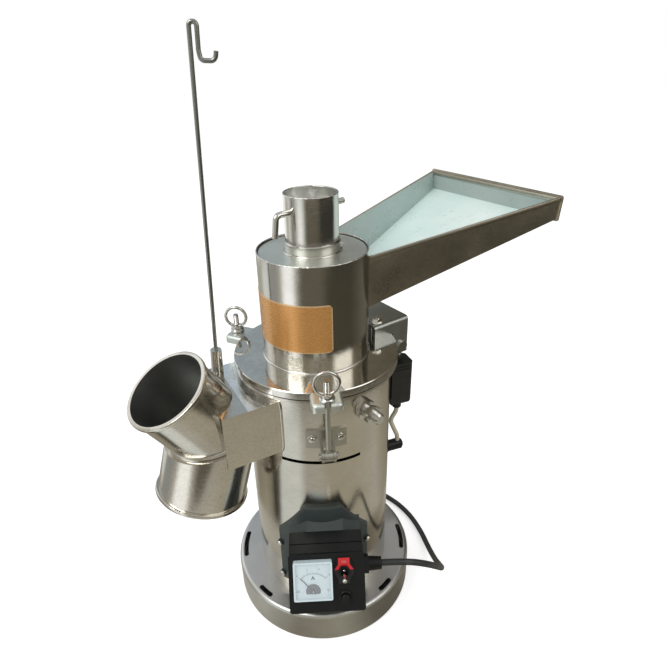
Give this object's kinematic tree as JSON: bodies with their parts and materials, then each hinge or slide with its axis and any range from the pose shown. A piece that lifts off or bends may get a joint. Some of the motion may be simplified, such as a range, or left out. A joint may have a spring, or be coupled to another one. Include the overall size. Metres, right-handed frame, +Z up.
{
  "type": "herb grinder",
  "caption": "Upright electric herb grinder with a tray hopper, a swing-hammer milling drum, a forked discharge fitting, a bag hanger and a front control box.",
  "frame": {"origin": "centre of the bench bolt circle on the plane of the pads' undersides, on the motor axis", "axes": "+Z up along the motor axis, -Y towards the front with the control box, +X to the operator's right"},
  "size_m": [0.5115, 0.4321, 0.7295],
  "materials": {
    "polished_steel": "polished stainless steel",
    "sheet_steel": "satin stainless sheet",
    "cast_steel": "machined casting",
    "motor_steel": "laminated steel",
    "copper_windings": "varnished copper",
    "aluminium_cast": "cast aluminium",
    "chrome": "bright plated",
    "black_paint": "satin black enamel",
    "black_plastic": "matt black",
    "grey_plastic": "dark grey",
    "white_dial": "white dial with black edge",
    "red_paint": "red and bright switch plate",
    "clear_glass": "clear",
    "copper_label": "copper coloured plate",
    "black_rubber": "black rubber",
    "olive_cable": "light olive sheath"
  },
  "bodies": {
    "base": {"foot_dish": "sheet_steel", "foot_plate": "sheet_steel", "foot_pads": "black_rubber", "drum_wall": "polished_steel", "motor_frame": "aluminium_cast", "motor_stator": "motor_steel", "motor_windings": "copper_windings", "end_shields": "aluminium_cast", "motor_bearings": "motor_steel", "chamber_floor": "sheet_steel", "liner_ring": "cast_steel", "sieve_plate": "sheet_steel", "chamber_plug": "chrome", "discharge_duct": "sheet_steel", "discharge_chute": "sheet_steel", "bag_spout": "sheet_steel", "lid_gasket": "black_rubber", "lid_plate": "polished_steel", "feed_cylinder": "polished_steel", "cylinder_crown": "sheet_steel", "inlet_tube": "polished_steel", "label_plate": "copper_label", "hopper_tray": "sheet_steel", "hinge_strap": "sheet_steel", "strap_bolts": "chrome", "hinge_knuckle": "sheet_steel", "hinge_pin": "chrome", "limit_switch": "grey_plastic", "switch_cable": "olive_cable", "cable_elbow": "black_plastic", "hanger_socket": "sheet_steel", "box_saddle": "black_paint", "control_box": "black_paint", "meter_case": "white_dial", "meter_lens": "clear_glass", "toggle_plate": "red_paint", "cord_gland": "black_plastic", "mains_cord": "black_rubber", "mains_coil": "black_rubber", "mains_plug": "black_plastic", "clamp_brackets": "sheet_steel"},
    "rotor": {"rotor_shaft": "motor_steel", "rotor_core": "motor_steel", "cooling_fan": "aluminium_cast", "hammer_rotor": "cast_steel", "rotor_nut": "cast_steel"},
    "hammer_a": {"hammer_1": "cast_steel"},
    "hammer_b": {"hammer_2": "cast_steel"},
    "hammer_c": {"hammer_3": "cast_steel"},
    "hammer_d": {"hammer_4": "cast_steel"},
    "bolt_front": {"swing_bolt_front": "chrome"},
    "bolt_left": {"swing_bolt_left": "chrome"},
    "nut_front": {"ring_nut_front": "chrome"},
    "nut_left": {"ring_nut_left": "chrome"},
    "damper_flap": {"damper": "sheet_steel"},
    "lever": {"toggle_lever": "chrome"},
    "button": {"reset_button": "black_plastic"},
    "needle": {"meter_needle": "black_plastic"},
    "hanger": {"hanger_rod": "sheet_steel"},
    "plunger": {"switch_plunger": "chrome"}
  },
  "joints": [
    {"name": "rotor_spin", "type": "hinge", "parent": "base", "child": "rotor", "pos_m": [0, 0, 0.2], "axis": [0, 0, 1], "continuous": true},
    {"name": "hammer_a_swing", "type": "hinge", "parent": "rotor", "child": "hammer_a", "pos_m": [0.03111, 0.03111, 0.326], "axis": [0, 0, 1], "range_deg": [-75, 75]},
    {"name": "hammer_b_swing", "type": "hinge", "parent": "rotor", "child": "hammer_b", "pos_m": [-0.03111, 0.03111, 0.326], "axis": [0, 0, 1], "range_deg": [-75, 75]},
    {"name": "hammer_c_swing", "type": "hinge", "parent": "rotor", "child": "hammer_c", "pos_m": [-0.03111, -0.03111, 0.326], "axis": [0, 0, 1], "range_deg": [-75, 75]},
    {"name": "hammer_d_swing", "type": "hinge", "parent": "rotor", "child": "hammer_d", "pos_m": [0.03111, -0.03111, 0.326], "axis": [0, 0, 1], "range_deg": [-75, 75]},
    {"name": "bolt_front_swing", "type": "hinge", "parent": "base", "child": "bolt_front", "pos_m": [0.0089, -0.11315, 0.308], "axis": [0.9969, 0.0785, 0], "range_deg": [0, 95]},
    {"name": "nut_front_turn", "type": "hinge", "parent": "bolt_front", "child": "nut_front", "pos_m": [0.0089, -0.11315, 0.39], "axis": [0, 0, 1], "continuous": true},
    {"name": "bolt_left_swing", "type": "hinge", "parent": "base", "child": "bolt_left", "pos_m": [-0.10157, 0.05064, 0.308], "axis": [-0.4462, -0.8949, 0], "range_deg": [0, 95]},
    {"name": "nut_left_turn", "type": "hinge", "parent": "bolt_left", "child": "nut_left", "pos_m": [-0.10157, 0.05064, 0.39], "axis": [0, 0, 1], "continuous": true},
    {"name": "damper_turn", "type": "hinge", "parent": "base", "child": "damper_flap", "pos_m": [0, 0, 0.5544], "axis": [0.788, 0.6157, 0], "range_deg": [0, 90]},
    {"name": "lever_throw", "type": "hinge", "parent": "base", "child": "lever", "pos_m": [0.0224, -0.14611, 0.1617], "axis": [1, 0, 0], "range_deg": [-28, 0]},
    {"name": "button_press", "type": "slide", "parent": "base", "child": "button", "axis": [0, 0.8949, -0.4462], "range_m": [0, 0.002], "stiffness_N_per_m": 400},
    {"name": "needle_swing", "type": "hinge", "parent": "base", "child": "needle", "pos_m": [-0.0145, -0.15927, 0.14472], "axis": [0, -0.8949, 0.4462], "range_deg": [-84, 0]},
    {"name": "hanger_turn", "type": "hinge", "parent": "base", "child": "hanger", "pos_m": [-0.11752, -0.03006, 0.361], "axis": [0.0489, 0, 0.9988], "continuous": true},
    {"name": "plunger_press", "type": "slide", "parent": "base", "child": "plunger", "axis": [0, 0, -1], "range_m": [0, 0.002], "stiffness_N_per_m": 400}
  ]
}
